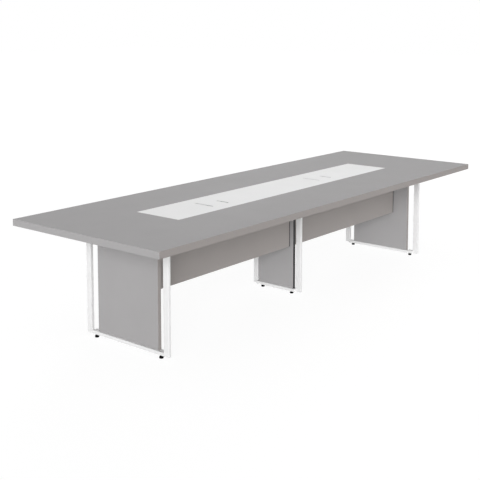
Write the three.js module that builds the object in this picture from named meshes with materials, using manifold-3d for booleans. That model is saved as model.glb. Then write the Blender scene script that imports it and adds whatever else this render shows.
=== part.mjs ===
// Conference table: a grey top in two halves with a white inset and two flush power boxes,
// standing on three panel legs, each inside an open steel frame with levelling feet.
// Millimetres, +Z up. The origin is on the floor under the middle of the top, +X runs along the
// table to its right end and -Y is the front.

import * as THREE from 'three';
import { mergeVertices } from 'three/addons/utils/BufferGeometryUtils.js';
import Module from 'manifold-3d';

// Table top
const TABLE_LENGTH = 3600;
const TABLE_WIDTH = 1200;
const TABLE_HEIGHT = 740;
const TOP_THICKNESS = 40;
const EDGE_BAND_THICKNESS = 2;
const SEAM_GAP = 0.4;
const SEAM_PLATE_LENGTH = 200;
const SEAM_PLATE_WIDTH = 80;
const SEAM_PLATE_THICKNESS = 3;
const SEAM_PLATE_FROM_EDGE = 180;

// White inset, let into a pocket in the top
const INSET_LENGTH = 2400;
const INSET_WIDTH = 350;
const INSET_THICKNESS = 18;
const INSET_CLEARANCE = 0.5;

// Legs: a panel on the bottom rail of a frame of rectangular tube
const END_OVERHANG = 345;
const POST_DEPTH = 20;
const POST_WIDTH = 40;
const RAIL_DEPTH = 40;
const RAIL_HEIGHT = 20;
const TUBE_WALL = 1.5;
const FIXING_PLATE_THICKNESS = 4;
const FIXING_PLATE_CLEARANCE = 3;
const LEG_PANEL_THICKNESS = 25;
const END_PANEL_WIDTH = 500;
const END_SIDE_GAP = 50;
const END_PANEL_SETBACK = 10;
const MIDDLE_PANEL_WIDTH = 300;
const MIDDLE_SIDE_GAP = 16;
const MIDDLE_PANEL_SETBACK = 5;

// Modesty panels, one towards each long side in each bay
const MODESTY_SPREAD = 250;
const MODESTY_HEIGHT = 362;
const MODESTY_THICKNESS = 18;
const MODESTY_END_GAP = 2;

// Steel angles that hold the panels to the top
const BRACKET_LEG = 30;
const BRACKET_LENGTH = 60;
const BRACKET_THICKNESS = 2.5;
const END_BRACKET_OFFSET = 60;
const MODESTY_BRACKET_FROM_END = 120;

// Levelling feet, screwed into bosses in the bottom rails
const FOOT_HEIGHT = 20;
const FOOT_BASE_RADIUS = 13;
const FOOT_BASE_HEIGHT = 9;
const FOOT_BASE_CHAMFER = 1.5;
const FOOT_HUB_RADIUS = 9;
const FOOT_HUB_SLOPE = 3;
const FOOT_SEAT_GAP = 0.3;
const STUD_RADIUS = 4;
const STUD_CLEARANCE = 0.3;
const STUD_END_GAP = 1.5;
const BOSS_WALL = 5;
const BOSS_HEIGHT = 8;
const FOOT_SETBACK = 13;
const END_FOOT_INSET = 70;
const MIDDLE_FOOT_INSET = 79;
const ROUND_SIDES = 20;

// Power boxes
const BOX_SPACING = 1192;
const BOX_LENGTH = 388;
const BOX_WIDTH = 178;
const FLANGE_THICKNESS = 4;
const FLANGE_OVERLAP = 4;
const SKIRT_WALL = 3;
const SKIRT_DEPTH = 30;
const BEZEL_CLEARANCE = 0.3;

// Lids, which turn about rods near their right edges
const LID_THICKNESS = 6;
const NARROW_LID_LENGTH = 142;
const FINGER_SLOT = 7;
const WIDE_LID_SLOT_LENGTH = 105;
const LID_GAP = 1.2;
const LID_SIDE_GAP = 1;
const LID_SEAT_GAP = 0.3;
const LIP_WIDTH = 5;
const LIP_THICKNESS = 3;
const LIP_HINGE_GAP = 20;
const HINGE_SETBACK = 10;
const ROD_RADIUS = 1.5;
const ROD_CLEARANCE = 0.15;
const ROD_HOLD = 2.4;
const ROD_END_GAP = 0.3;
const ROD_SIDES = 12;

// Tubs under the lids, with their sockets
const TUB_HEIGHT = 80;
const TUB_WALL = 2;
const TUB_CLEARANCE = 2;
const CABLE_OUTLET_WIDTH = 60;
const CABLE_OUTLET_HEIGHT = 24;
const CABLE_OUTLET_LIFT = 8;
const BLOCK_WIDTH = 60;
const BLOCK_HEIGHT = 36;
const BLOCK_MARGIN = 16;
const OUTLET_PITCH = 60;
const OUTLET_RADIUS = 18;
const OUTLET_RECESS = 3;
const PIN_HOLE_RADIUS = 2;
const PIN_HOLE_DEPTH = 14;
const PIN_HOLE_SPREAD = 9.5;
const PIN_HOLE_OFFSET = 3;
const PORT_PITCH = 34;
const PORT_LENGTH = 16;
const PORT_WIDTH = 13;
const PORT_RECESS = 2.5;

// How far a cutting block runs past the face it cuts
const CUT_PAST = 10;

// Levels and places worked out from the sizes above
const topUnderside = TABLE_HEIGHT - TOP_THICKNESS;
const railTop = FOOT_HEIGHT + RAIL_HEIGHT;
const studTop = railTop - TUBE_WALL - STUD_END_GAP;
const endLegX = TABLE_LENGTH / 2 - END_OVERHANG;
const endPanelInnerX = endLegX + POST_DEPTH / 2 - END_PANEL_SETBACK - LEG_PANEL_THICKNESS;
const middlePanelFaceX = LEG_PANEL_THICKNESS / 2;
const modestyOuterY = MODESTY_SPREAD / 2;
const modestyInnerY = modestyOuterY - MODESTY_THICKNESS;
const skirtLength = BOX_LENGTH - 2 * FLANGE_OVERLAP;
const skirtWidth = BOX_WIDTH - 2 * FLANGE_OVERLAP;
const openingLength = skirtLength - 2 * SKIRT_WALL;
const openingWidth = skirtWidth - 2 * SKIRT_WALL;
const tubTop = -SKIRT_DEPTH;
const tubFloor = tubTop - TUB_HEIGHT + TUB_WALL;

const greyBoard = { color: 0xa2a0a1, roughness: 0.55, metalness: 0 };
const greyBand = { color: 0x9d9896, roughness: 0.5, metalness: 0 };
const whiteBoard = { color: 0xe8e8e8, roughness: 0.45, metalness: 0 };
const whiteSteel = { color: 0xededed, roughness: 0.4, metalness: 0 };
const whitePlastic = { color: 0xf0f0f0, roughness: 0.3, metalness: 0 };
const bareSteel = { color: 0xb4b6b8, roughness: 0.35, metalness: 1 };
const blackSteel = { color: 0x2a2a2b, roughness: 0.5, metalness: 0.3 };
const blackPlastic = { color: 0x151516, roughness: 0.55, metalness: 0 };

const wasm = await Module();
wasm.setup();

function block([x0, x1], [y0, y1], [z0, z1]) {
  const geometry = new THREE.BoxGeometry(x1 - x0, y1 - y0, z1 - z0);
  geometry.translate((x0 + x1) / 2, (y0 + y1) / 2, (z0 + z1) / 2);
  return geometry;
}

function centred(size) {
  return [-size / 2, size / 2];
}

function solid(geometry) {
  geometry.deleteAttribute('normal');
  geometry.deleteAttribute('uv');
  const merged = mergeVertices(geometry);
  const vertProperties = new Float32Array(merged.attributes.position.array);
  const triVerts = new Uint32Array(merged.index.array);
  return new wasm.Manifold(new wasm.Mesh({ numProp: 3, vertProperties, triVerts }));
}

function union(geometries) {
  return geometries.map(solid).reduce((whole, piece) => whole.add(piece));
}

function cut(body, geometries) {
  return geometries.map(solid).reduce((rest, piece) => rest.subtract(piece), body);
}

function geometryOf(body) {
  const { vertProperties, triVerts } = body.getMesh();
  const geometry = new THREE.BufferGeometry();
  geometry.setAttribute('position', new THREE.BufferAttribute(vertProperties, 3));
  geometry.setIndex(new THREE.BufferAttribute(triVerts, 1));
  geometry.computeVertexNormals();
  return geometry;
}

function piece(name, finish, geometry) {
  const mesh = new THREE.Mesh(geometry, new THREE.MeshStandardMaterial(finish));
  mesh.name = name;
  return mesh;
}

// Sorts two ends of a span, so that a mirrored piece can be written with a side of -1 or 1.
function span(a, b) {
  return a < b ? [a, b] : [b, a];
}

// Places of the two power boxes and the two halves of the table
const halves = [
  { name: 'left', side: -1 },
  { name: 'right', side: 1 },
];
const faces = [
  { name: 'front', side: -1 },
  { name: 'back', side: 1 },
];
const boxX = (side) => side * BOX_SPACING / 2;

function tabletop(name, side) {
  const endX = side * (TABLE_LENGTH / 2 - EDGE_BAND_THICKNESS);
  const board = solid(block(
    span(side * SEAM_GAP / 2, endX),
    centred(TABLE_WIDTH - 2 * EDGE_BAND_THICKNESS),
    [topUnderside, TABLE_HEIGHT],
  ));
  const pocket = block(
    span(-side * CUT_PAST, side * INSET_LENGTH / 2),
    centred(INSET_WIDTH),
    [TABLE_HEIGHT - INSET_THICKNESS, TABLE_HEIGHT + CUT_PAST],
  );
  const tubHole = block(
    centred(skirtLength + 2 * TUB_CLEARANCE),
    centred(skirtWidth + 2 * TUB_CLEARANCE),
    [topUnderside - CUT_PAST, TABLE_HEIGHT],
  );
  tubHole.translate(boxX(side), 0, 0);
  return piece(`tabletop_${name}`, greyBoard, geometryOf(cut(board, [pocket, tubHole])));
}

function edgeBands(name, side) {
  const bands = new THREE.Group();
  const heights = [topUnderside, TABLE_HEIGHT];
  const boardEndX = side * (TABLE_LENGTH / 2 - EDGE_BAND_THICKNESS);
  const endBand = block(span(boardEndX, side * TABLE_LENGTH / 2), centred(TABLE_WIDTH), heights);
  bands.add(piece(`edge_band_${name}_end`, greyBand, endBand));
  for (const face of faces) {
    const longBand = block(
      span(side * SEAM_GAP / 2, boardEndX),
      span(face.side * (TABLE_WIDTH / 2 - EDGE_BAND_THICKNESS), face.side * TABLE_WIDTH / 2),
      heights,
    );
    bands.add(piece(`edge_band_${name}_${face.name}`, greyBand, longBand));
  }
  return bands;
}

function insetBoard(name, side) {
  const board = solid(block(
    span(side * SEAM_GAP / 2, side * (INSET_LENGTH / 2 - INSET_CLEARANCE)),
    centred(INSET_WIDTH - 2 * INSET_CLEARANCE),
    [TABLE_HEIGHT - INSET_THICKNESS, TABLE_HEIGHT],
  ));
  const flangeSeat = block(
    centred(BOX_LENGTH + 2 * BEZEL_CLEARANCE),
    centred(BOX_WIDTH + 2 * BEZEL_CLEARANCE),
    [TABLE_HEIGHT - FLANGE_THICKNESS, TABLE_HEIGHT + CUT_PAST],
  );
  const skirtHole = block(
    centred(skirtLength + 2 * BEZEL_CLEARANCE),
    centred(skirtWidth + 2 * BEZEL_CLEARANCE),
    [TABLE_HEIGHT - INSET_THICKNESS - CUT_PAST, TABLE_HEIGHT],
  );
  const cuts = [flangeSeat, skirtHole];
  cuts.forEach((geometry) => geometry.translate(boxX(side), 0, 0));
  return piece(`inset_${name}`, whiteBoard, geometryOf(cut(board, cuts)));
}

function seamPlate(face) {
  const plate = block(
    centred(SEAM_PLATE_LENGTH),
    centred(SEAM_PLATE_WIDTH),
    [topUnderside - SEAM_PLATE_THICKNESS, topUnderside],
  );
  const mesh = piece(`seam_plate_${face.name}`, bareSteel, plate);
  mesh.position.y = face.side * (TABLE_WIDTH / 2 - SEAM_PLATE_FROM_EDGE);
  return mesh;
}

// Two posts and the rail between them, of rectangular tube, flush at the frame's outer face. Each
// post has a fixing plate, and the rail has a drilled boss over each foot.
function legFrame({ name, side, outerX, panelWidth, sideGap, footX, footY }) {
  const innerY = panelWidth / 2 + sideGap;
  const outerY = innerY + POST_WIDTH;
  const plateBottom = topUnderside - FIXING_PLATE_THICKNESS;
  const plateMiddle = topUnderside - FIXING_PLATE_THICKNESS / 2;
  const postX = span(outerX, outerX - side * POST_DEPTH);
  const railX = span(outerX, outerX - side * RAIL_DEPTH);
  const boreOf = ([x0, x1]) => [x0 + TUBE_WALL, x1 - TUBE_WALL];
  const boreBottom = FOOT_HEIGHT + TUBE_WALL;
  const boreZ = [boreBottom, railTop - TUBE_WALL];
  const outside = [
    block(railX, centred(2 * innerY), [FOOT_HEIGHT, railTop]),
    block(postX, centred(2 * outerY - TUBE_WALL), [FOOT_HEIGHT, railTop]),
  ];
  const inside = [
    block(boreOf(railX), centred(2 * (innerY - TUBE_WALL)), boreZ),
    block(boreOf(postX), centred(2 * (outerY - TUBE_WALL)), boreZ),
  ];
  const additions = [];
  const holes = [];
  for (const face of faces) {
    const way = face.side;
    const tubeY = span(way * innerY, way * outerY);
    const plateY = span(way * (panelWidth / 2 + FIXING_PLATE_CLEARANCE), way * outerY);
    outside.push(block(postX, tubeY, [FOOT_HEIGHT, plateMiddle]));
    inside.push(block(boreOf(postX), boreOf(tubeY), [boreBottom, plateBottom]));
    additions.push(block(railX, plateY, [plateBottom, topUnderside]));
    additions.push(upright(STUD_RADIUS + STUD_CLEARANCE + BOSS_WALL, FOOT_HEIGHT + TUBE_WALL / 2,
      boreBottom + BOSS_HEIGHT, way * footY, footX));
    holes.push(upright(STUD_RADIUS + STUD_CLEARANCE, FOOT_HEIGHT - CUT_PAST, studTop, way * footY, footX));
  }
  const tube = union(outside).subtract(union(inside));
  const welded = tube.add(union(additions));
  return piece(`leg_frame_${name}`, whiteSteel, geometryOf(cut(welded, holes)));
}

// A round bar along Z
function upright(radius, z0, z1, y, x = 0) {
  const bar = new THREE.CylinderGeometry(radius, radius, z1 - z0, ROUND_SIDES);
  bar.rotateX(Math.PI / 2);
  bar.translate(x, y, (z0 + z1) / 2);
  return bar;
}

function legPanel(name, panelWidth, panelX) {
  return piece(`leg_panel_${name}`, greyBoard, block(panelX, centred(panelWidth), [railTop, topUnderside]));
}

// A moulded foot on its stud, standing on the floor with its hub just under the rail
function levellingFoot(name) {
  const hubTop = FOOT_HEIGHT - FOOT_SEAT_GAP;
  const outline = [
    [0, 0],
    [FOOT_BASE_RADIUS - FOOT_BASE_CHAMFER, 0],
    [FOOT_BASE_RADIUS, FOOT_BASE_CHAMFER],
    [FOOT_BASE_RADIUS, FOOT_BASE_HEIGHT],
    [FOOT_HUB_RADIUS, FOOT_BASE_HEIGHT + FOOT_HUB_SLOPE],
    [FOOT_HUB_RADIUS, hubTop],
    [STUD_RADIUS, hubTop],
    [STUD_RADIUS, studTop],
    [0, studTop],
  ].map(([r, z]) => new THREE.Vector2(r, z));
  const turned = new THREE.LatheGeometry(outline, ROUND_SIDES);
  turned.rotateX(Math.PI / 2);
  return piece(name, blackPlastic, turned);
}

// A steel angle under the top. Its upright leg lies against a panel face at zero and it reaches
// out along X or Y to the given side.
function angleBracket(name, along, side) {
  const corner = [
    [0, 0],
    [BRACKET_LEG, 0],
    [BRACKET_LEG, -BRACKET_THICKNESS],
    [BRACKET_THICKNESS, -BRACKET_THICKNESS],
    [BRACKET_THICKNESS, -BRACKET_LEG],
    [0, -BRACKET_LEG],
  ].map(([out, up]) => new THREE.Vector2(side * out, up));
  const angle = new THREE.ExtrudeGeometry(new THREE.Shape(corner), {
    depth: BRACKET_LENGTH,
    bevelEnabled: false,
  });
  angle.translate(0, 0, -BRACKET_LENGTH / 2);
  angle.rotateX(Math.PI / 2);
  if (along === 'y') angle.rotateZ(Math.PI / 2);
  const mesh = piece(name, bareSteel, angle);
  mesh.position.z = topUnderside;
  return mesh;
}

// A leg whose frame has its outer face at outerX, on the given side
function leg({ name, side, x, outerX, panelWidth, sideGap, footInset, panelX, brackets }) {
  const group = new THREE.Group();
  group.position.x = x;
  const footX = outerX - side * FOOT_SETBACK;
  const footY = panelWidth / 2 + sideGap + POST_WIDTH - footInset;
  group.add(legFrame({ name, side, outerX, panelWidth, sideGap, footX, footY }));
  group.add(legPanel(name, panelWidth, panelX));
  for (const face of faces) {
    const foot = levellingFoot(`foot_${name}_${face.name}`);
    foot.position.set(footX, face.side * footY, 0);
    group.add(foot);
  }
  for (const { label, towards, y } of brackets) {
    const bracket = angleBracket(`panel_bracket_${name}_${label}`, 'x', towards);
    bracket.position.x = towards > 0 ? panelX[1] : panelX[0];
    bracket.position.y = y;
    group.add(bracket);
  }
  return group;
}

function endLeg({ name, side }) {
  const outerX = side * POST_DEPTH / 2;
  const panelOuterX = outerX - side * END_PANEL_SETBACK;
  return leg({
    name,
    side,
    x: side * endLegX,
    outerX,
    panelWidth: END_PANEL_WIDTH,
    sideGap: END_SIDE_GAP,
    footInset: END_FOOT_INSET,
    panelX: span(panelOuterX, panelOuterX - side * LEG_PANEL_THICKNESS),
    brackets: faces.map((face) => ({
      label: face.name,
      towards: -side,
      y: face.side * END_BRACKET_OFFSET,
    })),
  });
}

function middleLeg() {
  return leg({
    name: 'middle',
    side: 1,
    x: 0,
    outerX: middlePanelFaceX + MIDDLE_PANEL_SETBACK,
    panelWidth: MIDDLE_PANEL_WIDTH,
    sideGap: MIDDLE_SIDE_GAP,
    footInset: MIDDLE_FOOT_INSET,
    panelX: centred(LEG_PANEL_THICKNESS),
    brackets: halves.map((half) => ({ label: half.name, towards: half.side, y: 0 })),
  });
}

function modestyPanel(half, face) {
  const label = `${half.name}_${face.name}`;
  const nearX = middlePanelFaceX + MODESTY_END_GAP;
  const farX = endPanelInnerX - MODESTY_END_GAP;
  const group = new THREE.Group();
  const board = block(
    span(half.side * nearX, half.side * farX),
    span(face.side * modestyInnerY, face.side * modestyOuterY),
    [topUnderside - MODESTY_HEIGHT, topUnderside],
  );
  group.add(piece(`modesty_panel_${label}`, greyBoard, board));
  const bracketPlaces = {
    inner: nearX + MODESTY_BRACKET_FROM_END,
    outer: farX - MODESTY_BRACKET_FROM_END,
  };
  for (const [end, x] of Object.entries(bracketPlaces)) {
    const bracket = angleBracket(`modesty_bracket_${label}_${end}`, 'y', -face.side);
    bracket.position.x = half.side * x;
    bracket.position.y = face.side * modestyInnerY;
    group.add(bracket);
  }
  return group;
}

// Places along a power box, from its middle, with the surface of the table at zero height
const narrowLidX = [
  -openingLength / 2 + FINGER_SLOT,
  -openingLength / 2 + FINGER_SLOT + NARROW_LID_LENGTH,
];
const wideLidX = [narrowLidX[1] + LID_GAP, openingLength / 2 - LID_GAP];
const lidY = centred(openingWidth - 2 * LID_SIDE_GAP);
const rodZ = -LID_THICKNESS / 2;

function rodBar(x, radius, length) {
  const bar = new THREE.CylinderGeometry(radius, radius, length, ROD_SIDES);
  bar.translate(x - HINGE_SETBACK, 0, rodZ);
  return bar;
}

function bezel(name) {
  const rim = union([
    block(centred(BOX_LENGTH), centred(BOX_WIDTH), [-FLANGE_THICKNESS, 0]),
    block(centred(skirtLength), centred(skirtWidth), [-SKIRT_DEPTH, -FLANGE_THICKNESS / 2]),
  ]);
  const opening = block(
    centred(openingLength),
    centred(openingWidth),
    [-SKIRT_DEPTH - CUT_PAST, CUT_PAST],
  );
  const lipTop = -LID_THICKNESS - LID_SEAT_GAP;
  const lips = [];
  for (const lidX of [narrowLidX, [wideLidX[0] + FINGER_SLOT, wideLidX[1]]]) {
    for (const face of faces) {
      lips.push(block(
        [lidX[0], lidX[1] - HINGE_SETBACK - LIP_HINGE_GAP],
        span(face.side * (openingWidth / 2 - LIP_WIDTH), face.side * (openingWidth + SKIRT_WALL) / 2),
        [lipTop - LIP_THICKNESS, lipTop],
      ));
    }
  }
  const body = lips.reduce((whole, lip) => whole.add(solid(lip)), cut(rim, [opening]));
  const rodLength = openingWidth + 2 * (ROD_HOLD + ROD_END_GAP);
  const rodHoles = [narrowLidX, wideLidX].map(
    (lidX) => rodBar(lidX[1], ROD_RADIUS + ROD_CLEARANCE, rodLength),
  );
  return piece(name, whitePlastic, geometryOf(cut(body, rodHoles)));
}

function lid(name, lidX, cuts) {
  const plate = solid(block(lidX, lidY, [-LID_THICKNESS, 0]));
  const bore = rodBar(lidX[1], ROD_RADIUS + ROD_CLEARANCE, openingWidth);
  return piece(name, whitePlastic, geometryOf(cut(plate, [bore, ...cuts])));
}

function hingeRod(name, lidX) {
  return piece(name, bareSteel, rodBar(lidX[1], ROD_RADIUS, openingWidth + 2 * ROD_HOLD));
}

function tub(name) {
  const outerTub = block(centred(skirtLength), centred(skirtWidth), [tubTop - TUB_HEIGHT, tubTop]);
  const hollow = block(
    centred(skirtLength - 2 * TUB_WALL),
    centred(skirtWidth - 2 * TUB_WALL),
    [tubFloor, tubTop + CUT_PAST],
  );
  const outletBottom = tubFloor + CABLE_OUTLET_LIFT;
  const cableOutlet = block(
    [skirtLength / 2 - TUB_WALL - CUT_PAST, skirtLength / 2 + CUT_PAST],
    centred(CABLE_OUTLET_WIDTH),
    [outletBottom, outletBottom + CABLE_OUTLET_HEIGHT],
  );
  return piece(name, blackSteel, geometryOf(cut(solid(outerTub), [hollow, cableOutlet])));
}

// Middles of as many places as a length holds at a pitch
function row([x0, x1], pitch) {
  const count = Math.max(1, Math.floor((x1 - x0) / pitch));
  return Array.from({ length: count }, (_, i) => (x0 + x1) / 2 + (i - (count - 1) / 2) * pitch);
}

function blockBody(blockX) {
  return solid(block(blockX, centred(BLOCK_WIDTH), [tubFloor, tubFloor + BLOCK_HEIGHT]));
}

function socketStrip(name) {
  const blockX = [wideLidX[0] + BLOCK_MARGIN, wideLidX[1] - BLOCK_MARGIN];
  const faceZ = tubFloor + BLOCK_HEIGHT;
  const cuts = [];
  for (const x of row(blockX, OUTLET_PITCH)) {
    const recess = upright(OUTLET_RADIUS, faceZ - OUTLET_RECESS, faceZ + CUT_PAST, 0);
    const pins = [-1, 0, 1].map((step) => {
      const pin = upright(PIN_HOLE_RADIUS, faceZ - PIN_HOLE_DEPTH, faceZ, step === 0 ? PIN_HOLE_OFFSET : 0);
      pin.translate(step * PIN_HOLE_SPREAD, 0, 0);
      return pin;
    });
    const outlet = [recess, ...pins];
    outlet.forEach((geometry) => geometry.translate(x, 0, 0));
    cuts.push(...outlet);
  }
  return piece(name, blackPlastic, geometryOf(cut(blockBody(blockX), cuts)));
}

function dataBlock(name) {
  const blockX = [narrowLidX[0] + BLOCK_MARGIN, narrowLidX[1] - BLOCK_MARGIN];
  const faceZ = tubFloor + BLOCK_HEIGHT;
  const ports = row(blockX, PORT_PITCH).map((x) => block(
    [x - PORT_LENGTH / 2, x + PORT_LENGTH / 2],
    centred(PORT_WIDTH),
    [faceZ - PORT_RECESS, faceZ + CUT_PAST],
  ));
  return piece(name, blackPlastic, geometryOf(cut(blockBody(blockX), ports)));
}

function powerBox({ name, side }) {
  const label = `power_box_${name}`;
  const fingerSlot = block(
    [wideLidX[0] - CUT_PAST, wideLidX[0] + FINGER_SLOT],
    [lidY[0] - CUT_PAST, lidY[0] + WIDE_LID_SLOT_LENGTH],
    [-LID_THICKNESS - CUT_PAST, CUT_PAST],
  );
  const group = new THREE.Group();
  group.position.set(boxX(side), 0, TABLE_HEIGHT);
  group.add(
    bezel(`${label}_bezel`),
    lid(`${label}_narrow_lid`, narrowLidX, []),
    lid(`${label}_wide_lid`, wideLidX, [fingerSlot]),
    hingeRod(`${label}_narrow_hinge_rod`, narrowLidX),
    hingeRod(`${label}_wide_hinge_rod`, wideLidX),
    tub(`${label}_tub`),
    socketStrip(`${label}_socket_strip`),
    dataBlock(`${label}_data_block`),
  );
  return group;
}

const table = new THREE.Group();
for (const half of halves) {
  table.add(tabletop(half.name, half.side), edgeBands(half.name, half.side));
  table.add(insetBoard(half.name, half.side), endLeg(half), powerBox(half));
  for (const face of faces) table.add(modestyPanel(half, face));
}
for (const face of faces) table.add(seamPlate(face));
table.add(middleLeg());

export default table;
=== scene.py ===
import math

import bpy
from mathutils import Matrix, Vector


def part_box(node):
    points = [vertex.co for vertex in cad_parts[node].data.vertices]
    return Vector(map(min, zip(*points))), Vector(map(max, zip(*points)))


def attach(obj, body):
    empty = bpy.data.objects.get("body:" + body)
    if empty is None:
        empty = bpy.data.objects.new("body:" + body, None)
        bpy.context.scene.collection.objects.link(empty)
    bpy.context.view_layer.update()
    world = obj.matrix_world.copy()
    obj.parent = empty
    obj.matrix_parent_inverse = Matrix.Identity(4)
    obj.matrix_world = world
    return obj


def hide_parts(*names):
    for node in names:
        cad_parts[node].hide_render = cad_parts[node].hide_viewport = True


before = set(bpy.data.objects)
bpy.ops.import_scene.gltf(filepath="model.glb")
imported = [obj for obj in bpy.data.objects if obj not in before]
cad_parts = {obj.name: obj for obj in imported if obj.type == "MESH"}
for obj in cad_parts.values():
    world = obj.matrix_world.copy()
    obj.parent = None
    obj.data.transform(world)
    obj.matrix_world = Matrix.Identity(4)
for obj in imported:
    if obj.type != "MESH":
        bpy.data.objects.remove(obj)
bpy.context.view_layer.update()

MM = 0.001
WAYS = (-1, 1)
HALVES = (("left", -1), ("right", 1))
FACES = (("front", -1), ("back", 1))

# Finishes. Each pattern is fixed to the piece, in metres.

GREY = (0.362, 0.354, 0.357)
# Painted shade: a darker, warmer copy of the grey board for the faces that look to the front and back,
# standing in for the dimmer, warm light that falls on them.
PAINTED_SHADE_GREY = (0.320, 0.298, 0.287)
# Painted shade: a still darker, warmer copy of the grey for the long edge bands of the top, standing in for
# the dim light on the front and back edges.
LONG_EDGE_SHADE_GREY = (0.284, 0.264, 0.255)
# Painted shadow: a near-black grey for the middle leg panel's edges, which sit in the shade between the
# panel and the posts, and for the rebates at the ends of the modesty panels, standing in for the shade in
# the corner beside the legs.
PAINTED_SHADOW_GREY = (0.050, 0.049, 0.050)
WHITE_BOARD = (0.825, 0.825, 0.825)
WHITE_STEEL = (0.77, 0.77, 0.77)
WHITE_PLASTIC = (0.82, 0.82, 0.82)
LIGHT_GREY = (0.52, 0.52, 0.52)
ZINC = (0.62, 0.63, 0.65)
BLACK_STEEL = (0.03, 0.03, 0.031)
BLACK_PLASTIC = (0.02, 0.02, 0.021)
BLACK_FOOT = (0.004, 0.004, 0.004)
BRASS = (0.78, 0.57, 0.25)
BOARD_GRAIN = (900, 0.15 * MM)
BAND_GRAIN = (500, 0.1 * MM)
COAT_GRAIN = (420, 0.2 * MM)
PLASTIC_GRAIN = (1500, 0.1 * MM)
SOCKET_GRAIN = (1200, 0.1 * MM)
FOOT_GRAIN = (800, 0.2 * MM)
ZINC_GRAIN = (60, 0.1 * MM)
BRASS_GRAIN = (900, 0.05 * MM)
CLOUD_DETAIL = 4.0
GRAIN_DETAIL = 3.0
GRAIN_STRENGTH = 0.3
NOISE_LOW, NOISE_HIGH = 0.3, 0.7
MIX_FACTOR, MIX_FROM, MIX_TO = 0, 6, 7
MIX_COLOUR = 2


def new_finish(name):
    finish = bpy.data.materials.new(name)
    finish.use_nodes = True
    return finish, finish.node_tree.nodes, finish.node_tree.links


def pattern(nodes, links, scale, detail):
    place = nodes.new("ShaderNodeTexCoord")
    noise = nodes.new("ShaderNodeTexNoise")
    noise.inputs["Scale"].default_value = scale
    noise.inputs["Detail"].default_value = detail
    links.new(place.outputs["Object"], noise.inputs["Vector"])
    return noise.outputs["Fac"]


def spread(nodes, links, value, low, high):
    ranged = nodes.new("ShaderNodeMapRange")
    ranged.inputs["From Min"].default_value = NOISE_LOW
    ranged.inputs["From Max"].default_value = NOISE_HIGH
    ranged.inputs["To Min"].default_value = low
    ranged.inputs["To Max"].default_value = high
    links.new(value, ranged.inputs["Value"])
    return ranged.outputs["Result"]


def shaded(nodes, links, value, colour, shade):
    mix = nodes.new("ShaderNodeMix")
    mix.data_type = "RGBA"
    mix.inputs[MIX_FROM].default_value = (*(c * (1 - shade) for c in colour), 1)
    mix.inputs[MIX_TO].default_value = (*colour, 1)
    links.new(value, mix.inputs[MIX_FACTOR])
    return mix.outputs[MIX_COLOUR]


def surface(name, colour, shade, roughness, grain, metallic=0.0, specular=0.5, cloud=6.0):
    """A finish with soft clouds of tone and a raised grain, which has a scale per metre and a height."""
    finish, nodes, links = new_finish(name)
    shader = nodes["Principled BSDF"]
    shader.inputs["Metallic"].default_value = metallic
    shader.inputs["Specular IOR Level"].default_value = specular
    clouds = spread(nodes, links, pattern(nodes, links, cloud, CLOUD_DETAIL), 0.0, 1.0)
    links.new(shaded(nodes, links, clouds, colour, shade), shader.inputs["Base Color"])
    scale, height = grain
    fine = pattern(nodes, links, scale, GRAIN_DETAIL)
    links.new(spread(nodes, links, fine, *roughness), shader.inputs["Roughness"])
    bump = nodes.new("ShaderNodeBump")
    bump.inputs["Distance"].default_value = height
    bump.inputs["Strength"].default_value = GRAIN_STRENGTH
    links.new(fine, bump.inputs["Height"])
    links.new(bump.outputs["Normal"], shader.inputs["Normal"])
    return finish


def board_finish(name, colour):
    return surface(name, colour, 0.03, (0.56, 0.66), BOARD_GRAIN, specular=0.15)


def band_finish(name, colour):
    return surface(name, colour, 0.02, (0.50, 0.60), BAND_GRAIN, specular=0.15)


finishes = {
    "grey_board": board_finish("grey_melamine", GREY),
    "grey_edge_band": band_finish("grey_edge_band", GREY),
    "painted_shade_board": board_finish("painted_shade_grey_melamine", PAINTED_SHADE_GREY),
    "painted_shade_band": band_finish("painted_shade_grey_edge_band", PAINTED_SHADE_GREY),
    "painted_shade_long_band": band_finish("painted_shade_long_edge_band", LONG_EDGE_SHADE_GREY),
    "painted_shadow_band": surface("painted_shadow_edge_band", PAINTED_SHADOW_GREY, 0.05, (0.55, 0.65), BAND_GRAIN, specular=0.2),
    "white_board": surface("white_melamine", WHITE_BOARD, 0.015, (0.46, 0.56), BOARD_GRAIN, specular=0.35),
    "white_steel": surface("white_powder_coat", WHITE_STEEL, 0.01, (0.34, 0.44), COAT_GRAIN, specular=0.4),
    "white_plastic": surface(
        "white_moulded_plastic", WHITE_PLASTIC, 0.01, (0.36, 0.44), PLASTIC_GRAIN, specular=0.35,
    ),
    "grey_underside": surface(
        "light_grey_plastic", LIGHT_GREY, 0.02, (0.45, 0.55), PLASTIC_GRAIN, specular=0.3,
    ),
    "zinc_steel": surface("zinc_plate", ZINC, 0.12, (0.28, 0.42), ZINC_GRAIN, metallic=1.0, cloud=40),
    "black_steel": surface("black_powder_coat", BLACK_STEEL, 0.1, (0.42, 0.55), COAT_GRAIN),
    "black_plastic": surface("black_socket_plastic", BLACK_PLASTIC, 0.1, (0.40, 0.50), SOCKET_GRAIN),
    "black_foot_plastic": surface(
        "black_foot_plastic", BLACK_FOOT, 0.1, (0.55, 0.70), FOOT_GRAIN, specular=0.08,
    ),
    "brass": surface("brass_contacts", BRASS, 0.1, (0.22, 0.32), BRASS_GRAIN, metallic=1.0, cloud=60),
}


# Workshop: blocks and bars, cuts, joints and soft edges

SHARP = math.cos(math.radians(15))
BEVELLED = math.radians(40)
SMOOTH = math.radians(35)
ALONG = 0.9
ACROSS = 0.1
NEAR = 0.1 * MM
ON_FACE = 0.01 * MM
PAST = 10 * MM
MAIN_FINISH, SECOND_FINISH, THIRD_FINISH = 0, 1, 2


def mm(*values):
    return Vector(values) * MM


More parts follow.
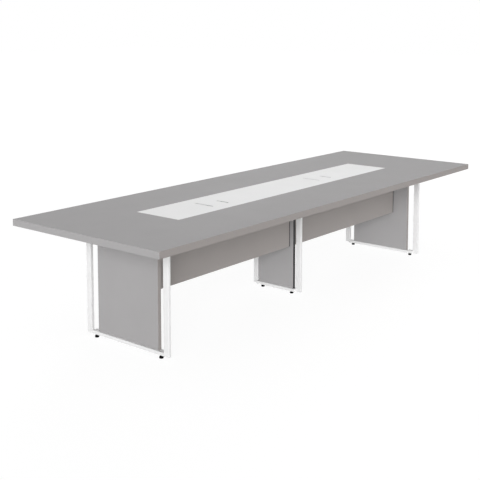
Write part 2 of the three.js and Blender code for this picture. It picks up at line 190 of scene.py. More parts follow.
def take(piece):
    bpy.ops.object.select_all(action="DESELECT")
    piece.select_set(True)
    bpy.context.view_layer.objects.active = piece


def block(name, low, high):
    bpy.ops.object.select_all(action="DESELECT")
    low, high = Vector(low), Vector(high)
    bpy.ops.mesh.primitive_cube_add(size=1, location=(low + high) / 2)
    piece = bpy.context.object
    piece.name = piece.data.name = name
    piece.scale = high - low
    bpy.ops.object.transform_apply(location=True, rotation=True, scale=True)
    return piece


def bar(name, radius, start, end, sides=32):
    bpy.ops.object.select_all(action="DESELECT")
    start, end = Vector(start), Vector(end)
    turn = (end - start).to_track_quat("Z", "Y").to_euler()
    bpy.ops.mesh.primitive_cylinder_add(
        vertices=sides, radius=radius, depth=(end - start).length, location=(start + end) / 2, rotation=turn,
    )
    piece = bpy.context.object
    piece.name = piece.data.name = name
    bpy.ops.object.transform_apply(location=True, rotation=True, scale=True)
    return piece


def apply(piece, kind, **settings):
    take(piece)
    modifier = piece.modifiers.new(kind.lower(), kind)
    for name, value in settings.items():
        setattr(modifier, name, value)
    bpy.ops.object.modifier_apply(modifier=modifier.name)


def work(piece, operation, *cutters):
    for cutter in cutters:
        apply(piece, "BOOLEAN", operation=operation, solver="EXACT", object=cutter)
        bpy.data.objects.remove(cutter)
    return piece


def edit(piece):
    take(piece)
    bpy.ops.object.mode_set(mode="EDIT")


def leave_edit():
    bpy.ops.object.mode_set(mode="OBJECT")


def split(place, normal):
    """Divides the faces of the piece in edit mode along a plane."""
    bpy.ops.mesh.select_all(action="SELECT")
    bpy.ops.mesh.bisect(plane_co=place, plane_no=normal)


def draw_out(x=0, z=0):
    """Extrudes the faces that are picked in edit mode."""
    bpy.ops.mesh.extrude_region_move(TRANSFORM_OT_translate={"value": (x, 0, z)})


def cut(piece, *cutters):
    return work(piece, "DIFFERENCE", *cutters)


def weld(piece, *others):
    return work(piece, "UNION", *others)


def gather(piece, *others):
    take(piece)
    for other in others:
        other.select_set(True)
    bpy.ops.object.join()
    return piece


def choose(piece, kind, wanted):
    """Enters edit mode with the wanted sharp edges or faces picked.

    An edge is judged by its middle and direction, a face by its middle and normal.
    """
    edit(piece)
    bpy.ops.mesh.select_mode(type=kind)
    bpy.ops.mesh.select_all(action="DESELECT")
    leave_edit()
    mesh = piece.data
    if kind == "EDGE":
        sides = {}
        for face in mesh.polygons:
            for key in face.edge_keys:
                sides.setdefault(key, []).append(face.normal)
        for edge in mesh.edges:
            a, b = (mesh.vertices[i].co for i in edge.vertices)
            run = (b - a).normalized()
            one, other = sides[edge.key]
            sharp = one.dot(other) < SHARP
            edge.select = bool(sharp and wanted((a + b) / 2, Vector(map(abs, run))))
    else:
        for face in mesh.polygons:
            face.select = bool(wanted(face.center, face.normal))
    edit(piece)


def soften(piece, radius, steps, wanted):
    choose(piece, "EDGE", wanted)
    bpy.ops.mesh.bevel(offset=radius, segments=steps, affect="EDGES")
    leave_edit()
    return piece


def soften_all(piece, radius, steps):
    apply(piece, "BEVEL", width=radius, segments=steps, limit_method="ANGLE", angle_limit=BEVELLED)
    return piece


def upright(middle, run):
    return run.z > ALONG


def plate(name, low, high, corner, steps=4):
    return soften(block(name, low, high), corner, steps, upright)


def copy_of(piece, name, matrix):
    take(piece)
    bpy.ops.object.duplicate()
    twin = bpy.context.object
    twin.name = twin.data.name = name
    twin.matrix_world = matrix
    bpy.ops.object.transform_apply(location=True, rotation=True, scale=True)
    return twin


def fit(piece, finish, nodes, body="table"):
    """Smooths the piece, gives it its finish and puts it in the place of CAD nodes."""
    take(piece)
    bpy.ops.object.shade_smooth_by_angle(angle=SMOOTH)
    apply(piece, "WEIGHTED_NORMAL", keep_sharp=True)
    if not piece.data.materials:
        piece.data.materials.append(finishes[finish])
    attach(piece, body)
    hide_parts(*nodes)
    return piece


def band_edges(piece, face, edge, thin):
    """Gives the board's large faces one finish and the faces along its edges another."""
    piece.data.materials.append(finishes[face])
    piece.data.materials.append(finishes[edge])
    for polygon in piece.data.polygons:
        polygon.material_index = MAIN_FINISH if abs(polygon.normal[thin]) > ALONG else SECOND_FINISH


# Screws, modelled once with the head on the face at the origin, pointing along +Z

SCREW_RADIUS = 4 * MM
SCREW_HEIGHT = 2.2 * MM
SCREW_ROUNDING = 1.3 * MM
CROSS_LENGTH = 4.2 * MM
CROSS_WIDTH = 1.0 * MM
CROSS_FLOOR = 1.0 * MM


def cross_screw():
    head = bar("screw", SCREW_RADIUS, (0, 0, 0), (0, 0, SCREW_HEIGHT), 20)
    soften(head, SCREW_ROUNDING, 3, lambda middle, run: middle.z > SCREW_HEIGHT * 0.9)
    for x, y in ((CROSS_LENGTH / 2, CROSS_WIDTH / 2), (CROSS_WIDTH / 2, CROSS_LENGTH / 2)):
        cut(head, block("slot", (-x, -y, CROSS_FLOOR), (x, y, SCREW_HEIGHT + MM)))
    return head


screw = cross_screw()


def screw_at(place, toward):
    turn = Vector(toward).to_track_quat("Z", "Y").to_matrix().to_4x4()
    return copy_of(screw, "screw_head", Matrix.Translation(place) @ turn)


# Table top: two boards with their edge bands, and the joint plates below

TABLE_HEIGHT = 740 * MM
TOP_UNDERSIDE = 700 * MM
POCKET_END = 1200 * MM
POCKET_HALF = 175 * MM
POCKET_FLOOR = TABLE_HEIGHT - 18 * MM
BOX_PLACE = 596 * MM
TUB_HOLE = (192 * MM, 87 * MM)
TUB_HOLE_CORNER = 5 * MM
ARRIS = 0.4 * MM
BAND_ROUNDING = 1.2 * MM
SEAM_PLATE_CORNER = 8 * MM
SEAM_SCREWS_X = (-80 * MM, -30 * MM, 30 * MM, 80 * MM)
SEAM_SCREWS_Y = (-25 * MM, 25 * MM)
THIN_EDGE = 0.4 * MM


def rim(middle, run):
    """Edges of the surface where boards meet, which have a fine arris."""
    inside = abs(middle.x) < POCKET_END + MM and abs(middle.y) < POCKET_HALF + MM
    return middle.z > TABLE_HEIGHT - ON_FACE and (inside or abs(middle.x) < MM)


def box_hole(name, side, half, bottom, top, corner):
    """A cutter round the middle of a power box, given half its length and width."""
    x = side * BOX_PLACE
    return plate(name, (x - half[0], -half[1], bottom), (x + half[0], half[1], top), corner)


def top_board(name, side):
    low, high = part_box(f"tabletop_{name}")
    board = block(f"board_{name}", low, high)
    ends = sorted((-side * PAST, side * POCKET_END))
    pocket_top = TABLE_HEIGHT + PAST
    pocket = block("pocket", (ends[0], -POCKET_HALF, POCKET_FLOOR), (ends[1], POCKET_HALF, pocket_top))
    hole = box_hole("tub_hole", side, TUB_HOLE, TOP_UNDERSIDE - PAST, TABLE_HEIGHT, TUB_HOLE_CORNER)
    cut(board, pocket, hole)
    soften(board, ARRIS, 2, rim)
    fit(board, "grey_board", [f"tabletop_{name}"])


def edge_bands(name, side):
    low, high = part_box(f"edge_band_{name}_end")
    outer_end = high.x if side > 0 else low.x
    end = block(f"band_{name}_end", low, high)
    soften(end, BAND_ROUNDING, 3, lambda middle, run: abs(middle.x - outer_end) < NEAR)
    fit(end, "grey_edge_band", [f"edge_band_{name}_end"])
    for face, way in FACES:
        low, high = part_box(f"edge_band_{name}_{face}")
        outer = high.y if way > 0 else low.y
        band = block(f"band_{name}_{face}", low, high)
        soften(band, BAND_ROUNDING, 3, lambda middle, run: run.x > ALONG and abs(middle.y - outer) < NEAR)
        # The long edge bands take the painted-shade grey; the end bands keep the plain grey.
        fit(band, "painted_shade_long_band", [f"edge_band_{name}_{face}"])


def joint_plate(face):
    low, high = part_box(f"seam_plate_{face}")
    steel = plate(f"joint_plate_{face}", low, high, SEAM_PLATE_CORNER)
    soften_all(steel, THIN_EDGE, 2)
    middle = (low + high) / 2
    places = [(x, middle.y + y, low.z) for x in SEAM_SCREWS_X for y in SEAM_SCREWS_Y]
    gather(steel, *(screw_at(place, (0, 0, -1)) for place in places))
    fit(steel, "zinc_steel", [f"seam_plate_{face}"])


for half, side in HALVES:
    top_board(half, side)
    edge_bands(half, side)
for face, _ in FACES:
    joint_plate(face)

# White inlay boards, with the seats of the power boxes

FLANGE = 4 * MM
BOX_SEAT = (194.3 * MM, 89.3 * MM)
BOX_HOLE = (190.3 * MM, 85.3 * MM)
BOX_CORNER = 3.3 * MM


def inlay(name, side):
    low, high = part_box(f"inset_{name}")
    board = block(f"inlay_{name}", low, high)
    seat = box_hole("seat", side, BOX_SEAT, TABLE_HEIGHT - FLANGE, TABLE_HEIGHT + PAST, BOX_CORNER)
    hole = box_hole("hole", side, BOX_HOLE, low.z - PAST, TABLE_HEIGHT, BOX_CORNER)
    cut(board, seat, hole)
    soften(board, ARRIS, 2, lambda middle, run: middle.z > high.z - ON_FACE)
    fit(board, "white_board", [f"inset_{name}"])


for half, side in HALVES:
    inlay(half, side)

# Leg frames: a strip with the posts drawn up from its ends and the flat rail drawn inward, under plates

POST_DEPTH = 20 * MM
POST_WIDTH = 40 * MM
RAIL_DEPTH = 40 * MM
RAIL_HEIGHT = 20 * MM
FRAME_ROUNDING = 2.2 * MM
FIXING_PLATE = 4 * MM
FIXING_PLATE_CORNER = 3 * MM
FIXING_SCREW_INSET = 12 * MM
LEG_SIDES = {"left": -1, "middle": 1, "right": 1}
FEET = {"left": 270 * MM, "middle": 127 * MM, "right": 270 * MM}
FOOT_SETBACK = 13 * MM
PLATE_REACH = {"left": 253 * MM, "middle": 153 * MM, "right": 253 * MM}
FOOT_HOLE = 4.3 * MM
FOOT_HOLE_DEPTH = 17.6 * MM
BOARD_ROUNDING = 0.8 * MM


def from_outer_face(name, distance):
    """The X at a distance in from a frame's outer face."""
    low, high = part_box(f"leg_frame_{name}")
    return high.x - distance if LEG_SIDES[name] > 0 else low.x + distance


def frame_tube(name):
    """The posts and the rail with its foot holes. The posts end inside the fixing plates."""
    low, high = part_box(f"leg_frame_{name}")
    side = LEG_SIDES[name]
    post_top = high.z - FIXING_PLATE / 2
    post_inside = high.y - POST_WIDTH
    strip = sorted((from_outer_face(name, 0), from_outer_face(name, POST_DEPTH)))
    steel = block(f"frame_{name}", (strip[0], low.y, low.z), (strip[1], high.y, low.z + RAIL_HEIGHT))
    edit(steel)
    for y in (-post_inside, post_inside):
        split((0, y, 0), (0, 1, 0))
    leave_edit()
    choose(steel, "FACE", lambda middle, normal: normal.z > ALONG and abs(middle.y) > post_inside)
    draw_out(z=post_top - low.z - RAIL_HEIGHT)
    leave_edit()
    choose(steel, "FACE", lambda middle, normal: normal.x * side < -ALONG and abs(middle.y) < post_inside)
    draw_out(x=side * (POST_DEPTH - RAIL_DEPTH))
    leave_edit()
    soften_all(steel, FRAME_ROUNDING, 3)
    x = from_outer_face(name, FOOT_SETBACK)
    for way in WAYS:
        y = way * FEET[name]
        cut(steel, bar("foot_hole", FOOT_HOLE, (x, y, low.z - PAST), (x, y, low.z + FOOT_HOLE_DEPTH)))
    return steel


def fixing_plates(name):
    """The plates on the tops of the posts, and their screws."""
    low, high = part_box(f"leg_frame_{name}")
    bottom = high.z - FIXING_PLATE
    reach = PLATE_REACH[name]
    screw_x = from_outer_face(name, (POST_DEPTH + RAIL_DEPTH) / 2)
    pieces = []
    for way in WAYS:
        ends = sorted((way * reach, way * high.y))
        corners = (low.x, ends[0], bottom), (high.x, ends[1], high.z)
        pieces.append(soften_all(plate("fixing_plate", *corners, FIXING_PLATE_CORNER), THIN_EDGE, 2))
        for y in (reach + FIXING_SCREW_INSET, high.y - FIXING_SCREW_INSET):
            pieces.append(screw_at((screw_x, way * y, bottom), (0, 0, -1)))
    return pieces


def leg_frame(name):
    steel = gather(frame_tube(name), *fixing_plates(name))
    fit(steel, "white_steel", [f"leg_frame_{name}"])


def leg_panel(name):
    low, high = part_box(f"leg_panel_{name}")
    board = soften_all(block(f"panel_{name}", low, high), BOARD_ROUNDING, 2)
    # The middle panel's edges get the painted shadow; the end panels' edges get the painted-shade grey,
    # darker and warmer than their faces.
    band_edges(board, "grey_board", "painted_shadow_band" if name == "middle" else "painted_shade_band", 0)
    fit(board, "grey_board", [f"leg_panel_{name}"])


for leg in FEET:
    leg_frame(leg)
    leg_panel(leg)

# Modesty panels, rebated at both ends and painted near black there, a painted shadow so that a dark line
# shows beside the legs

REBATE_WIDTH = 11 * MM
REBATE_DEPTH = 2 * MM


def modesty_panel(half, face, way):
    node = f"modesty_panel_{half}_{face}"
    low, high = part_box(node)
    board = block(f"screen_{half}_{face}", low, high)
    outer = high.y if way > 0 else low.y
    sides = sorted((outer - way * REBATE_DEPTH, outer + way * PAST))
    for start, end in ((low.x - PAST, low.x + REBATE_WIDTH), (high.x - REBATE_WIDTH, high.x + PAST)):
        cut(board, block("rebate", (start, sides[0], low.z - PAST), (end, sides[1], high.z + PAST)))
    soften_all(board, BOARD_ROUNDING, 2)
    # Both faces and the edges of the modesty board take the painted-shade grey, darker and warmer than the
    # grey board.
    band_edges(board, "painted_shade_board", "painted_shade_band", 1)
    # The rebates and the ends of the board get the painted shadow, near black, standing in for the shade in
    # the corner beside the leg panel.
    board.data.materials.append(finishes["painted_shadow_band"])
    for polygon in board.data.polygons:
        middle = polygon.center
        at_end = min(middle.x - low.x, high.x - middle.x) < REBATE_WIDTH + NEAR
        if at_end and abs(middle.y - outer) > REBATE_DEPTH / 4:
            polygon.material_index = THIRD_FINISH
    fit(board, "grey_board", [node])


for half, side in HALVES:
    for face, way in FACES:
        modesty_panel(half, face, way)

# Levelling feet, in millimetres: a moulded base with grip notches and a threaded stud, drawn up ring by ring

FOOT_OUTLINE = ((13.0, 1.5), (13.0, 9.5), (9.0, 12.0), (9.0, 19.7), (3.9, 19.7))
FOOT_START = 11.5
STUD_TOP = 37.0
THREAD_PITCH = 1.25
THREAD_DEPTH = 0.5
FOOT_SIDES = 36
FOOT_ROUNDING = 0.8
ROUNDED_FROM, ROUNDED_TO = 5, 19.8
ROUNDED_OUTSIDE = 8
GRIPS = 18
GRIP_RADIUS = 1.1
GRIP_CIRCLE = 13.4
GRIP_BOTTOM, GRIP_TOP = 2.4, 11


def draw_up(ring, radius, height):
    """Lifts the chosen end ring to a height and sizes it to a radius."""
    last_radius, last_height = ring
    draw_out(z=(height - last_height) * MM)
    share = radius / last_radius
    bpy.ops.transform.resize(value=(share, share, 1), center_override=(0, 0, height * MM))
    return radius, height


def shoulder(middle, run):
    """The level edges of the base and the hub, without those of the underside and the stud."""
    outside = middle.xy.length > ROUNDED_OUTSIDE * MM
    return run.z < ACROSS and outside and ROUNDED_FROM * MM < middle.z < ROUNDED_TO * MM


def levelling_foot():
    bpy.ops.object.select_all(action="DESELECT")
    bpy.ops.mesh.primitive_circle_add(vertices=FOOT_SIDES, radius=FOOT_START * MM, fill_type="NGON")
    foot = bpy.context.object
    edit(foot)
    bpy.ops.mesh.select_all(action="SELECT")
    ring = (FOOT_START, 0)
    for radius, height in FOOT_OUTLINE:
        ring = draw_up(ring, radius, height)
    while ring[1] + THREAD_PITCH < STUD_TOP:
        ring = draw_up(ring, ring[0] - THREAD_DEPTH, ring[1] + THREAD_PITCH / 2)
        ring = draw_up(ring, ring[0] + THREAD_DEPTH, ring[1] + THREAD_PITCH / 2)
    draw_up(ring, ring[0] - THREAD_DEPTH, STUD_TOP)
    bpy.ops.mesh.select_all(action="SELECT")
    bpy.ops.mesh.normals_make_consistent(inside=False)
    leave_edit()
    soften(foot, FOOT_ROUNDING * MM, 2, shoulder)
    for step in range(GRIPS):
        turn = 2 * math.pi * step / GRIPS
        at = Vector((math.cos(turn), math.sin(turn), 0)) * GRIP_CIRCLE * MM
        cut(foot, bar("grip", GRIP_RADIUS * MM, at + mm(0, 0, GRIP_BOTTOM), at + mm(0, 0, GRIP_TOP), 10))
    return foot


foot_model = levelling_foot()
for leg, reach in FEET.items():
    for face, way in FACES:
        node = f"foot_{leg}_{face}"
        place = Matrix.Translation((from_outer_face(leg, FOOT_SETBACK), way * reach, 0))
        fit(copy_of(foot_model, f"level_{leg}_{face}", place), "black_foot_plastic", [node], body=node)
bpy.data.objects.remove(foot_model)

# Steel angles: an upright leg with the second leg drawn out of its top, and four screws

ANGLE_LEG = 30 * MM
ANGLE_HALF = 30 * MM
ANGLE_WALL = 2.5 * MM
ANGLE_CORNER = 5 * MM
ANGLE_BEND = 2 * MM
ANGLE_SCREW = 17 * MM
ANGLE_SCREWS_Y = (-18 * MM, 18 * MM)


def free_corner(middle, run):
    """The corners at the free ends of both legs."""
    tip = ANGLE_LEG - MM
    return run.z > ALONG and middle.x > tip or run.x > ALONG and middle.z < -tip


def bend(middle, run):
    """The outer and the inner edge between the legs."""
    inner = Vector((ANGLE_WALL, -ANGLE_WALL))
    return run.y > ALONG and min(middle.xz.length, (middle.xz - inner).length) < MM


def steel_angle():
    steel = block("angle", (0, -ANGLE_HALF, -ANGLE_LEG), (ANGLE_WALL, ANGLE_HALF, 0))
    edit(steel)
    split((0, 0, -ANGLE_WALL), (0, 0, 1))
    leave_edit()
    choose(steel, "FACE", lambda middle, normal: normal.x > ALONG and middle.z > -ANGLE_WALL)
    draw_out(x=ANGLE_LEG - ANGLE_WALL)
    leave_edit()
    soften(steel, ANGLE_CORNER, 4, free_corner)
    soften(steel, ANGLE_BEND, 3, bend)
    places = [((ANGLE_SCREW, y, -ANGLE_WALL), (0, 0, -1)) for y in ANGLE_SCREWS_Y]
    places += [((ANGLE_WALL, y, -ANGLE_SCREW), (1, 0, 0)) for y in ANGLE_SCREWS_Y]
    return gather(steel, *(screw_at(*place) for place in places))


angle_model = steel_angle()


def place_angle(node, toward):
    """Puts an angle where its node is: its upright leg against the board, reaching out along X or Y."""
    low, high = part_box(node)
    middle = (low + high) / 2
    back = Vector((middle.x, middle.y, high.z)) - Vector(toward) * ANGLE_LEG / 2
    turn = Matrix.Rotation(math.atan2(toward[1], toward[0]), 4, "Z")
    angle = copy_of(angle_model, node.replace("bracket", "angle"), Matrix.Translation(back) @ turn)
    fit(angle, "zinc_steel", [node])


for half, side in HALVES:
    place_angle(f"panel_bracket_middle_{half}", (side, 0, 0))
    for face, way in FACES:
        place_angle(f"panel_bracket_{half}_{face}", (-side, 0, 0))
        for end in ("inner", "outer"):
            place_angle(f"modesty_bracket_{half}_{face}_{end}", (0, -way, 0))
bpy.data.objects.remove(angle_model)

# Power boxes, modelled round the middle of the box with the surface of the table at zero, in millimetres

OVER = 10
BEZEL = (194, 89)
BEZEL_BOTTOM = -4
BEZEL_CORNER = 3
OPENING = (187, 82)
OPENING_CORNER = 1.5
SKIRT = (190, 85)
SKIRT_TOP = -2
FINE_EDGE = 0.5
NARROW_LID = (-180, -38)
WIDE_LID = (-36.8, 185.8)
LID_HALF = 81
LID_BOTTOM = -6
LID_CORNER = 1.2
LID_SKIN = 1
CRISP_END = 2
LEDGE_SIDES = (77, 83.5)
LEDGE_TOP = LID_BOTTOM - 0.3
LEDGE_HEIGHT = 3
LEDGE_SHORT = 30
SLOT = 7
SLOT_END = 24
SLOT_CORNER = 2
LIP = 0.5
LIP_DEPTH = 18
FINGER_RECESS = 3
RECESS_CORNER = 3
RECESS_START = 6
BAY_HALF = 74
BAY_LENGTH = 45
BAY_TOP = -2.5
BAY_CORNER = 2
RIB = 2
HINGE_SETBACK = 10
HINGE_CLEAR = 8
HINGE_HEIGHT = -3
ROD_RADIUS = 1.5
ROD_HALF = 84.4
ROD_ROUNDING = 0.4
ROD_HOLE = 1.65
ROD_HOLE_HALF = 84.7
ROD_SIDES = 20
TUB_TOP = -30
TUB_BOTTOM = -110
TUB_WALL = 2
TUB_FLOOR = TUB_BOTTOM + TUB_WALL
TUB_ROUNDING = 3
TUB_SCREWS_X = (-120, 120)
TUB_SCREW_DROP = 20
OUTLET_X = (175, 200)
OUTLET_HALF = 30
OUTLET_RISE = (10, 34)
OUTLET_CORNER = 4
BLOCK_HALF = 30
BLOCK_TOP = TUB_FLOOR + 36
BLOCK_ROUNDING = 2
STRIP_ENDS = (-20.8, 169.8)
SOCKET_STEP = 60
SOCKET_RADIUS = 18
SOCKET_DEPTH = 3
SOCKET_EDGE = 0.6
PIN_RADIUS = 2
PIN_STEP = 9.5
PIN_DEPTH = 14
EARTH_PIN_OFFSET = 3
PORTS_ENDS = (-164, -54)
PORT_PLACES = (-143, -109, -75)
PORT = (8, 6.5, 2.5)
THROAT = (6, 4, 12)
CATCH_HALF = 3
CATCH_SIDES = (3.9, 5.6)
WIRES = 8
WIRE_START = -4.4
WIRE_STEP = 1.26
WIRE_HALF = 0.25
WIRE_SIDES = (-3.9, -2.4)
WIRE_DEPTHS = (12.2, 4)
WIRE_EDGE = 0.1


def hinge_bar(name, lid, radius, half):
    """A round bar of a length to each side, on the axis that a lid turns about."""
    x = lid[1] - HINGE_SETBACK
    return bar(name, radius * MM, mm(x, -half, HINGE_HEIGHT), mm(x, half, HINGE_HEIGHT), ROD_SIDES)


def box_bezel():
    body = plate("bezel", mm(-BEZEL[0], -BEZEL[1], BEZEL_BOTTOM), mm(*BEZEL, 0), BEZEL_CORNER * MM)
    skirt = plate("skirt", mm(-SKIRT[0], -SKIRT[1], TUB_TOP), mm(*SKIRT, SKIRT_TOP), BEZEL_CORNER * MM)
    weld(body, skirt)
    opening_low, opening_high = mm(-OPENING[0], -OPENING[1], TUB_TOP - OVER), mm(*OPENING, OVER)
    cut(body, plate("opening", opening_low, opening_high, OPENING_CORNER * MM))
    ledges = []
    for start, end in (NARROW_LID, (WIDE_LID[0] + SLOT, WIDE_LID[1])):
        for way in WAYS:
            sides = sorted(way * y for y in LEDGE_SIDES)
            low = mm(start, sides[0], LEDGE_TOP - LEDGE_HEIGHT)
            ledges.append(block("ledge", low, mm(end - LEDGE_SHORT, sides[1], LEDGE_TOP)))
    weld(body, *ledges)
    soften(body, FINE_EDGE * MM, 2, lambda middle, run: middle.z > -ON_FACE)
    for lid in (NARROW_LID, WIDE_LID):
        cut(body, hinge_bar("rod_hole", lid, ROD_HOLE, ROD_HOLE_HALF))
    return body


def lid_plate(name, ends, slot):
    """A white lid with a thin lip to lift it by and a light grey ribbed underside."""
    lid = plate(name, mm(ends[0], -LID_HALF, LID_BOTTOM), mm(ends[1], LID_HALF, 0), LID_CORNER * MM, 3)
    soft_from = (ends[0] if slot else ends[0] + CRISP_END) * MM - NEAR
    soften(lid, FINE_EDGE * MM, 2, lambda middle, run: middle.z > -ON_FACE and middle.x > soft_from)
    grip, reach = ends[0], BAY_HALF
    below = LID_BOTTOM - OVER
    if slot:
        grip, reach = ends[0] + SLOT, SLOT_END - RIB
        notch_low = mm(ends[0] - OVER, -LID_HALF - OVER, below)
        cut(lid, plate("notch", notch_low, mm(grip, SLOT_END, OVER), SLOT_CORNER * MM, 3))
    mouth = mm(grip - RECESS_START, -BAY_HALF, below)
    cut(lid, plate("recess", mouth, mm(grip + FINGER_RECESS, reach, OVER), RECESS_CORNER * MM, 3))
    cut(lid, plate("grip", mouth, mm(grip + LIP_DEPTH, reach, -LIP), BAY_CORNER * MM, 2))
    start, stop = grip + LIP_DEPTH + RIB, ends[1] - HINGE_SETBACK - HINGE_CLEAR
    count = max(2, round((stop - start) / BAY_LENGTH))
    bay = (stop - start - RIB * (count - 1)) / count
    for step in range(count):
        x = start + step * (bay + RIB)
        for low, high in ((-BAY_HALF, -RIB / 2), (RIB / 2, BAY_HALF)):
            cut(lid, plate("bay", mm(x, low, below), mm(x + bay, high, BAY_TOP), BAY_CORNER * MM, 2))
    cut(lid, hinge_bar("bore", ends, ROD_HOLE, LID_HALF + OVER))
    lid.data.materials.append(finishes["white_plastic"])
    lid.data.materials.append(finishes["grey_underside"])
    for face in lid.data.polygons:
        middle = face.center / MM
        within = grip + FINE_EDGE < middle.x < ends[1] - LID_SKIN and abs(middle.y) < LID_HALF - LID_SKIN
        hidden = within and middle.z < -LIP / 2 or face.normal.z < -0.5
        face.material_index = SECOND_FINISH if hidden else MAIN_FINISH
    return lid


def hinge_rod(name, ends):
    rod = hinge_bar(name, ends, ROD_RADIUS, ROD_HALF)
    tip = ROD_HALF * MM - NEAR
    return soften(rod, ROD_ROUNDING * MM, 2, lambda middle, run: abs(middle.y) > tip and run.y < ACROSS)


def box_tub():
    tub = block("tub", mm(-SKIRT[0], -SKIRT[1], TUB_BOTTOM), mm(*SKIRT, TUB_TOP))
    soften(tub, TUB_ROUNDING * MM, 4, lambda middle, run: run.z > ALONG or middle.z < (TUB_BOTTOM + 1) * MM)
    choose(tub, "FACE", lambda middle, normal: normal.z > ALONG)
    bpy.ops.mesh.inset(thickness=TUB_WALL * MM)
    draw_out(z=(TUB_FLOOR - TUB_TOP) * MM)
    leave_edit()
    bottom, top = (TUB_BOTTOM + rise for rise in OUTLET_RISE)
    outlet = block("outlet", mm(OUTLET_X[0], -OUTLET_HALF, bottom), mm(OUTLET_X[1], OUTLET_HALF, top))
    soften(outlet, OUTLET_CORNER * MM, 4, lambda middle, run: run.x > ALONG)
    cut(tub, outlet)
    for x in TUB_SCREWS_X:
        for way in WAYS:
            gather(tub, screw_at(mm(x, way * SKIRT[1], TUB_TOP - TUB_SCREW_DROP), (0, way, 0)))
    return tub


def rounded_block(name, ends):
    """A body on the floor of the tub."""
    body = block(name, mm(ends[0], -BLOCK_HALF, TUB_FLOOR), mm(ends[1], BLOCK_HALF, BLOCK_TOP))
    return soften_all(body, BLOCK_ROUNDING * MM, 3)


def socket_strip():
    strip = rounded_block("strip", STRIP_ENDS)
    middle = sum(STRIP_ENDS) / 2
    for x in (middle - SOCKET_STEP, middle, middle + SOCKET_STEP):
        well_low, well_high = mm(x, 0, BLOCK_TOP - SOCKET_DEPTH), mm(x, 0, BLOCK_TOP + OVER)
        cut(strip, bar("well", SOCKET_RADIUS * MM, well_low, well_high, 40))
        for step in (-1, 0, 1):
            at = x + step * PIN_STEP
            y = EARTH_PIN_OFFSET if step == 0 else 0
            pin_low, pin_high = mm(at, y, BLOCK_TOP - PIN_DEPTH), mm(at, y, BLOCK_TOP)
            cut(strip, bar("pin", PIN_RADIUS * MM, pin_low, pin_high, 14))
    top = BLOCK_TOP * MM - ON_FACE
    soften(strip, SOCKET_EDGE * MM, 2, lambda middle, run: middle.z > top and run.z < ACROSS)
    return strip


def data_block():
    body = rounded_block("ports", PORTS_ENDS)
    contacts = []
    for x in PORT_PLACES:
        length, width, depth = PORT
        port_high = mm(x + length, width, BLOCK_TOP + OVER)
        port = block("port", mm(x - length, -width, BLOCK_TOP - depth), port_high)
        length, width, depth = THROAT
        bottom = BLOCK_TOP - depth
        throat = block("throat", mm(x - length, -width, bottom), mm(x + length, width, BLOCK_TOP))
        catch_low = mm(x - CATCH_HALF, CATCH_SIDES[0], bottom)
        catch = block("catch", catch_low, mm(x + CATCH_HALF, CATCH_SIDES[1], BLOCK_TOP))
        cut(body, port, throat, catch)
        for step in range(WIRES):
            at = x + WIRE_START + step * WIRE_STEP
            wire_low = mm(at - WIRE_HALF, WIRE_SIDES[0], BLOCK_TOP - WIRE_DEPTHS[0])
            wire = block("wire", wire_low, mm(at + WIRE_HALF, WIRE_SIDES[1], BLOCK_TOP - WIRE_DEPTHS[1]))
            contacts.append(soften_all(wire, WIRE_EDGE * MM, 1))
    body.data.materials.append(finishes["black_plastic"])
    for wire in contacts:
        wire.data.materials.append(finishes["brass"])
    return gather(body, *contacts)


box_models = {
    "bezel": (box_bezel(), "white_plastic"),
    "narrow_lid": (lid_plate("narrow", NARROW_LID, False), "white_plastic"),
    "wide_lid": (lid_plate("wide", WIDE_LID, True), "white_plastic"),
    "narrow_hinge_rod": (hinge_rod("narrow_rod", NARROW_LID), "zinc_steel"),
    "wide_hinge_rod": (hinge_rod("wide_rod", WIDE_LID), "zinc_steel"),
    "tub": (box_tub(), "black_steel"),
    "socket_strip": (socket_strip(), "black_plastic"),
    "data_block": (data_block(), "black_plastic"),
}
for half, side in HALVES:
    place = Matrix.Translation((side * BOX_PLACE, 0, TABLE_HEIGHT))
    for part, (model, finish) in box_models.items():
        body = f"{half}_{part}" if part.endswith("lid") else "table"
        fit(copy_of(model, f"box_{half}_{part}", place), finish, [f"power_box_{half}_{part}"], body=body)
for model, _ in box_models.values():
    bpy.data.objects.remove(model)
bpy.data.objects.remove(screw)

# Studio: a white floor and backdrop, a low soft key from the front left, weaker suns and a softbox above.
# A sun has a turn from the left end towards the front, a rise and a width in degrees, and a strength.

FLOOR_SIZE = 80
FLOOR_BOUNCE = 0.8
FLOOR_GLOW = 1.04
SHADOW_SHARE = 0.12
SHADOW_NEAR = 2.5
SHADOW_FAR = 7.0
SKY_LIGHT = 0.25
SUNS = {
    "left_key": (-34, 12, 24, 0.15),
    "front_key": (34, 14, 30, 2.6),
    "front_fill": (86, 12, 56, 0.9),
    "back_fill": (205, 12, 30, 1.6),
}
MIRRORED_SUN = "front_fill"
SOFTBOX_HEIGHT = 5
SOFTBOX_SIZE = (7, 5)
SOFTBOX_POWER = 68


def seen_directly(nodes, links):
    """One for rays from the camera and for those that a mirror or glass sends on."""
    path = nodes.new("ShaderNodeLightPath")
    total = path.outputs["Is Camera Ray"]
    for ray in ("Is Glossy Ray", "Is Transmission Ray"):
        larger = nodes.new("ShaderNodeMath")
        larger.operation = "MAXIMUM"
        links.new(total, larger.inputs[0])
        links.new(path.outputs[ray], larger.inputs[1])
        total = larger.outputs[0]
    return total


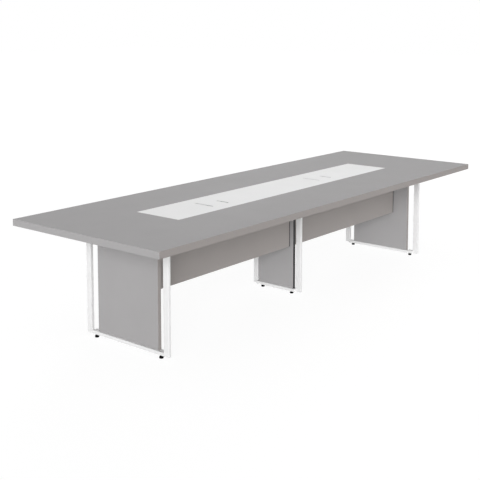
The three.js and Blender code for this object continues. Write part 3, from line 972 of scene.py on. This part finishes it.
def pale_floor():
    bpy.ops.object.select_all(action="DESELECT")
    bpy.ops.mesh.primitive_plane_add(size=FLOOR_SIZE, location=(0, 0, 0))
    floor = bpy.context.object
    floor.name = "floor"
    finish, nodes, links = new_finish("pale_floor")
    nodes.clear()
    output = nodes.new("ShaderNodeOutputMaterial")
    paint = nodes.new("ShaderNodeBsdfDiffuse")
    paint.inputs["Color"].default_value = (FLOOR_BOUNCE,) * 3 + (1,)
    shadow = nodes.new("ShaderNodeBsdfDiffuse")
    shadow.inputs["Color"].default_value = (1, 1, 1, 1)
    glow = nodes.new("ShaderNodeEmission")
    glow.inputs["Strength"].default_value = FLOOR_GLOW
    place = nodes.new("ShaderNodeTexCoord")
    distance = nodes.new("ShaderNodeVectorMath")
    distance.operation = "LENGTH"
    links.new(place.outputs["Object"], distance.inputs[0])
    fade = nodes.new("ShaderNodeMapRange")
    fade.inputs["From Min"].default_value = SHADOW_NEAR
    fade.inputs["From Max"].default_value = SHADOW_FAR
    fade.inputs["To Min"].default_value = SHADOW_SHARE
    fade.inputs["To Max"].default_value = 0.0
    links.new(distance.outputs["Value"], fade.inputs["Value"])
    white = nodes.new("ShaderNodeMixShader")
    links.new(fade.outputs["Result"], white.inputs["Fac"])
    links.new(glow.outputs[0], white.inputs[1])
    links.new(shadow.outputs[0], white.inputs[2])
    shown = nodes.new("ShaderNodeMixShader")
    links.new(seen_directly(nodes, links), shown.inputs["Fac"])
    links.new(paint.outputs[0], shown.inputs[1])
    links.new(white.outputs[0], shown.inputs[2])
    links.new(shown.outputs[0], output.inputs["Surface"])
    floor.data.materials.append(finish)


def white_sky():
    world = bpy.data.worlds.new("studio")
    bpy.context.scene.world = world
    world.use_nodes = True
    nodes, links = world.node_tree.nodes, world.node_tree.links
    light = nodes["Background"]
    light.inputs["Strength"].default_value = SKY_LIGHT
    light.inputs["Color"].default_value = (1, 1, 1, 1)
    backdrop = nodes.new("ShaderNodeBackground")
    backdrop.inputs["Strength"].default_value = 1.0
    backdrop.inputs["Color"].default_value = (1, 1, 1, 1)
    shown = nodes.new("ShaderNodeMixShader")
    links.new(seen_directly(nodes, links), shown.inputs["Fac"])
    links.new(light.outputs[0], shown.inputs[1])
    links.new(backdrop.outputs[0], shown.inputs[2])
    links.new(shown.outputs[0], nodes["World Output"].inputs["Surface"])


def soft_sun(name, turn, rise, width, strength):
    bpy.ops.object.light_add(type="SUN")
    lamp = bpy.context.object
    lamp.name = name
    turn, rise = math.radians(turn), math.radians(rise)
    way = Vector((math.cos(turn) * math.cos(rise), math.sin(turn) * math.cos(rise), -math.sin(rise)))
    lamp.rotation_euler = way.to_track_quat("-Z", "Y").to_euler()
    lamp.data.energy = strength
    lamp.data.angle = math.radians(width)
    return lamp


def top_softbox():
    bpy.ops.object.light_add(type="AREA", location=(0, 0, SOFTBOX_HEIGHT))
    lamp = bpy.context.object
    lamp.name = "top_softbox"
    lamp.data.shape = "RECTANGLE"
    lamp.data.size, lamp.data.size_y = SOFTBOX_SIZE
    lamp.data.energy = SOFTBOX_POWER
    lamp.visible_camera = False


pale_floor()
white_sky()
for name, sun in SUNS.items():
    soft_sun(name, *sun).visible_glossy = name == MIRRORED_SUN
top_softbox()

# Camera, where the photograph was taken from

CAMERA_PLACE = (-4.97271, -3.70816, 1.90084)
CAMERA_TURN = math.radians(39.129)
CAMERA_DIP = math.radians(6.0137)
CAMERA_LENS = 67.1012
CAMERA_SHIFT = -0.26

bpy.ops.object.camera_add(
    location=CAMERA_PLACE,
    rotation=(math.pi / 2 - CAMERA_DIP, 0, CAMERA_TURN - math.pi / 2),
)
camera = bpy.context.object
camera.data.lens = CAMERA_LENS
camera.data.shift_y = CAMERA_SHIFT
bpy.context.scene.camera = camera
bpy.context.scene.view_settings.view_transform = "Standard"
